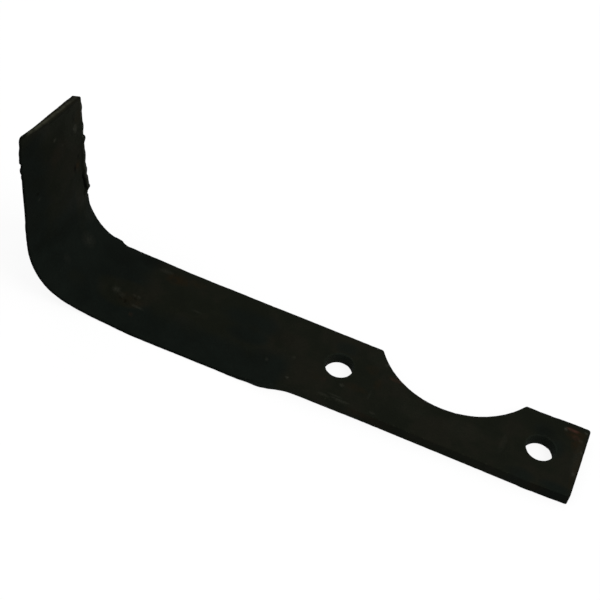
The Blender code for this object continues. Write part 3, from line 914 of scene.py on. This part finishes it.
class Nodes:
    """Short calls for building the nodes of a material or a world."""

    def __init__(self, tree):
        self.tree = tree

    def put(self, value, socket):
        """Links a socket to another one, or sets it to a plain value."""
        if isinstance(value, bpy.types.NodeSocket):
            self.tree.links.new(value, socket)
        else:
            socket.default_value = value

    def attribute(self, name, output="Fac"):
        """What finish_surface noted under a name."""
        node = self.tree.nodes.new("ShaderNodeAttribute")
        node.attribute_name = name
        return node.outputs[output]

    def noise(self, coordinates, length, detail, roughness):
        """Cloudy noise whose features are about a length in size."""
        node = self.tree.nodes.new("ShaderNodeTexNoise")
        self.put(coordinates, node.inputs["Vector"])
        node.inputs["Scale"].default_value = 1.0 / length
        node.inputs["Detail"].default_value = detail
        node.inputs["Roughness"].default_value = roughness
        return node.outputs["Fac"]

    def spread(self, value, low, high, start, stop):
        """Maps low..high smoothly to start..stop."""
        node = self.tree.nodes.new("ShaderNodeMapRange")
        node.interpolation_type = "SMOOTHSTEP"
        self.put(value, node.inputs["Value"])
        for name, number in (("From Min", low), ("From Max", high), ("To Min", start), ("To Max", stop)):
            node.inputs[name].default_value = number
        return node.outputs["Result"]

    def math(self, operation, first, second):
        """Joins two values by an operation."""
        node = self.tree.nodes.new("ShaderNodeMath")
        node.operation = operation
        self.put(first, node.inputs[0])
        self.put(second, node.inputs[1])
        return node.outputs["Value"]

    def mix(self, share, first, second, blend="MIX"):
        """Mixes two colours by a share."""
        node = self.tree.nodes.new("ShaderNodeMix")
        node.data_type = "RGBA"
        node.blend_type = blend
        self.put(share, node.inputs["Factor"])
        self.put(first, node.inputs["A"])
        self.put(second, node.inputs["B"])
        return node.outputs["Result"]


# Colours of the steel
OLIVE_SCALE = (0.0062, 0.0072, 0.0046, 1.0)
WARM_SCALE = (0.0072, 0.0072, 0.0048, 1.0)
COOL_SCALE = (0.0044, 0.0059, 0.0046, 1.0)
RUST = (0.0150, 0.0085, 0.0035, 1.0)
PALE_SCUFF = (0.0260, 0.0265, 0.0200, 1.0)
PINK_RUST = (0.0450, 0.0190, 0.0140, 1.0)
CUT_STEEL = (0.0280, 0.0285, 0.0195, 1.0)
NEAR_BLACK = (0.0012, 0.0010, 0.0006, 1.0)
DARKEST = 0.85                       # most that the dark marks and the crack cover

# Clouds in the steel's finish: size, detail and roughness
BROAD_CLOUDS = (9.0 * MM, 3.0, 0.5)
MID_CLOUDS = (2.6 * MM, 4.0, 0.6)
FINE_CLOUDS = (0.55 * MM, 3.0, 0.65)

# How clouds and notes turn into shares and shades: the range that counts, and the values at its ends
WARM_SPREAD = (0.42, 0.66, 0.0, 1.0)
COOL_DRIFT = (0.3, 0.7, -0.2, 0.2)
COOL_SPREAD = (0.1, 0.9, 0.0, 1.0)
BROAD_SHADE = (0.3, 0.7, 0.9, 1.12)
MID_SHADE = (0.3, 0.7, 0.94, 1.08)
FINE_SHADE = (0.3, 0.75, 0.9, 1.12)
# Painted shade on the side faces, the rims and the tip, and painted light on the bore walls
PAINTED_SHADE_AND_LIGHT = (
    ("side", (0.0, 1.0, 1.0, 0.55)),
    ("rim", (0.2, 1.0, 1.0, 0.5)),
    # painted light that brightens the bore walls by half again
    ("bore", (0.0, 1.0, 1.0, 1.5)),
    # painted shade on the tip
    ("tip", (0.0, 1.0, 1.0, 0.76)),
)
RUST_SPREAD = (0.38, 0.62, 0.35, 1.0)
SCUFF_SPREAD = (0.35, 0.6, 0.35, 1.0)
WORN_SPREAD = (0.58, 0.72, 0.0, 0.5)
CUT_SPREAD = (0.35, 0.6, 0.4, 1.0)

# Gloss of the steel, and the fine bump of its scale
SCALE_ROUGHNESS = (0.3, 0.7, 0.68, 0.84)
TIP_ROUGHNESS = (0.0, 1.0, 0.0, 0.2)
RUST_ROUGHNESS = 0.1
SPECULAR_LEVEL = 0.07
SCALE_IOR = 1.2
BUMP_STRENGTH = 0.35
BUMP_HEIGHT = 0.05 * MM


def steel():
    """Black forging scale, with cooler scale on the bevel and bend, rust, scuffs and a paler cut end, and
    with painted shade on the sides, rims and tip and painted light in the bores.
    """
    material = bpy.data.materials.new("black_scale_steel")
    material.use_nodes = True
    tree = material.node_tree
    shader = tree.nodes["Principled BSDF"]
    nodes = Nodes(tree)
    blank = nodes.attribute("blank", "Vector")
    broad = nodes.noise(blank, *BROAD_CLOUDS)
    mid = nodes.noise(blank, *MID_CLOUDS)
    fine = nodes.noise(blank, *FINE_CLOUDS)

    warm = nodes.mix(nodes.spread(broad, *WARM_SPREAD), OLIVE_SCALE, WARM_SCALE)
    cool = nodes.math("ADD", nodes.attribute("cool"), nodes.spread(broad, *COOL_DRIFT))
    colour = nodes.mix(nodes.spread(cool, *COOL_SPREAD), warm, COOL_SCALE)
    shade = nodes.spread(broad, *BROAD_SHADE)
    shades = [nodes.spread(mid, *MID_SHADE), nodes.spread(fine, *FINE_SHADE)]
    # painted shade on the side faces, rims and tip, and painted light in the bores
    shades += [nodes.spread(nodes.attribute(name), *values) for name, values in PAINTED_SHADE_AND_LIGHT]
    for factor in shades:
        shade = nodes.math("MULTIPLY", shade, factor)
    colour = nodes.mix(1.0, colour, shade, "MULTIPLY")

    broken = nodes.spread(mid, *RUST_SPREAD)
    rusty = nodes.math("MULTIPLY", nodes.attribute("rust"), broken)
    colour = nodes.mix(rusty, colour, RUST)
    colour = nodes.mix(nodes.math("MULTIPLY", nodes.attribute("pink"), broken), colour, PINK_RUST)
    pale = nodes.math("MULTIPLY", nodes.attribute("pale"), nodes.spread(fine, *SCUFF_SPREAD))
    worn = nodes.math("MULTIPLY", nodes.attribute("edge"), nodes.spread(fine, *WORN_SPREAD))
    colour = nodes.mix(nodes.math("MAXIMUM", pale, worn), colour, PALE_SCUFF)
    cut = nodes.math("MULTIPLY", nodes.attribute("cut"), nodes.spread(mid, *CUT_SPREAD))
    colour = nodes.mix(cut, colour, CUT_STEEL)
    # dark marks and the crack, with the painted shade inside the bend among them
    colour = nodes.mix(nodes.math("MULTIPLY", nodes.attribute("dark"), DARKEST), colour, NEAR_BLACK)
    nodes.put(colour, shader.inputs["Base Color"])

    rust_roughness = nodes.math("MULTIPLY", rusty, RUST_ROUGHNESS)
    rough = nodes.math("ADD", nodes.spread(mid, *SCALE_ROUGHNESS), rust_roughness)
    rough = nodes.math("ADD", rough, nodes.spread(nodes.attribute("tip"), *TIP_ROUGHNESS))
    nodes.put(rough, shader.inputs["Roughness"])
    shader.inputs["Specular IOR Level"].default_value = SPECULAR_LEVEL
    shader.inputs["IOR"].default_value = SCALE_IOR
    bump = tree.nodes.new("ShaderNodeBump")
    bump.inputs["Strength"].default_value = BUMP_STRENGTH
    bump.inputs["Distance"].default_value = BUMP_HEIGHT
    nodes.put(nodes.math("ADD", fine, mid), bump.inputs["Height"])
    nodes.put(bump.outputs["Normal"], shader.inputs["Normal"])
    return material


def make_blade():
    """The finished blade, which stands for the solid of the same form."""
    blade = bpy.data.objects.new("forged_blade", blank_mesh())
    bpy.context.scene.collection.objects.link(blade)
    cut_hole(blade, INNER_BOLT_X, BOLT_LINE_Y)
    cut_hole(blade, INNER_BOLT_X + BOLT_SPACING, BOLT_LINE_Y + OUTER_HOLE_OFFSET)
    merge_slivers(blade.data)
    finish_surface(blade.data)
    blade.data.shade_smooth()
    blade.data.set_sharp_from_angle(angle=SHARP_ANGLE)
    blade.data.materials.clear()
    blade.data.materials.append(steel())
    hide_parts(NODE)
    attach(blade, "root")


# Camera at the photograph's angle
CAMERA_PLACE = (20.05 * MM, -276.99 * MM, 379.31 * MM)
CAMERA_AIM = (-65.3 * MM, 34.46 * MM, 0.0)
CAMERA_ROLL = math.radians(9.86)
CAMERA_LENS = 77.4                   # in millimetres, as the sensor
CAMERA_SENSOR = 36.0
CAMERA_NEAREST = 10.0 * MM
CAMERA_FARTHEST = 20.0

# Plain white studio: a floor just under the blade, one large soft lamp and an even world
WHITE = (1.0, 1.0, 1.0, 1.0)
FLOOR_DROP = 0.2 * MM
FLOOR_SIZE = 8.0
FLOOR_COLOUR = (0.98, 0.98, 0.98, 1.0)
FLOOR_WHITE_SHARE = 0.88             # the rest is lit, and keeps the blade's shadow
KEY_PLACE = (0.85, -0.1, 1.2)
KEY_SIZE = 0.9
KEY_WATTS = 8.0
WORLD_STRENGTH = 0.86


def make_camera():
    """The camera, turned to its aim and then rolled."""
    data = bpy.data.cameras.new("camera")
    data.lens = CAMERA_LENS
    data.sensor_width = CAMERA_SENSOR
    data.clip_start = CAMERA_NEAREST
    data.clip_end = CAMERA_FARTHEST
    camera = bpy.data.objects.new("camera", data)
    bpy.context.scene.collection.objects.link(camera)
    aim = Vector(CAMERA_AIM) - Vector(CAMERA_PLACE)
    turn = aim.to_track_quat("-Z", "Y").to_matrix().to_4x4()
    camera.matrix_world = Matrix.Translation(CAMERA_PLACE) @ turn @ Matrix.Rotation(CAMERA_ROLL, 4, "Z")
    bpy.context.scene.camera = camera


def seen_as_white(tree, surface, white_kind, share):
    """Shows a surface to the camera, to reflections and through glass partly as plain white light."""
    nodes = Nodes(tree)
    path = tree.nodes.new("ShaderNodeLightPath")
    seen = path.outputs["Is Camera Ray"]
    for ray in ("Is Glossy Ray", "Is Transmission Ray"):
        seen = nodes.math("MAXIMUM", seen, path.outputs[ray])
    white = tree.nodes.new(white_kind)
    white.inputs["Color"].default_value = WHITE
    white.inputs["Strength"].default_value = 1.0
    mix = tree.nodes.new("ShaderNodeMixShader")
    nodes.put(nodes.math("MULTIPLY", seen, share), mix.inputs["Fac"])
    nodes.put(surface, mix.inputs[1])
    nodes.put(white.outputs[0], mix.inputs[2])
    return mix.outputs[0]


def make_floor():
    """Plain white floor, which keeps the blade's shadow."""
    bpy.ops.mesh.primitive_plane_add(size=FLOOR_SIZE, location=(0.0, 0.0, -FLOOR_DROP))
    floor = bpy.context.object
    floor.name = "floor"
    material = bpy.data.materials.new("floor")
    material.use_nodes = True
    tree = material.node_tree
    shader = tree.nodes["Principled BSDF"]
    shader.inputs["Base Color"].default_value = FLOOR_COLOUR
    shader.inputs["Roughness"].default_value = 1.0
    shader.inputs["Specular IOR Level"].default_value = 0.0
    surface = seen_as_white(tree, shader.outputs["BSDF"], "ShaderNodeEmission", FLOOR_WHITE_SHARE)
    tree.links.new(surface, tree.nodes["Material Output"].inputs["Surface"])
    floor.data.materials.append(material)


def make_light(name, place, size, watts):
    """A round soft lamp that looks at the origin."""
    data = bpy.data.lights.new(name, "AREA")
    data.shape = "DISK"
    data.size = size
    data.energy = watts
    lamp = bpy.data.objects.new(name, data)
    bpy.context.scene.collection.objects.link(lamp)
    lamp.location = place
    lamp.rotation_euler = (-Vector(place)).to_track_quat("-Z", "Y").to_euler()


def make_world():
    """Even light from all sides, which is plain white where it is seen."""
    world = bpy.data.worlds.new("studio")
    world.use_nodes = True
    tree = world.node_tree
    light = tree.nodes["Background"]
    light.inputs["Color"].default_value = WHITE
    light.inputs["Strength"].default_value = WORLD_STRENGTH
    surface = seen_as_white(tree, light.outputs["Background"], "ShaderNodeBackground", 1.0)
    tree.links.new(surface, tree.nodes["World Output"].inputs["Surface"])
    bpy.context.scene.world = world


make_blade()
make_floor()
make_light("key", KEY_PLACE, KEY_SIZE, KEY_WATTS)
make_world()
make_camera()
bpy.context.scene.view_settings.view_transform = "Standard"
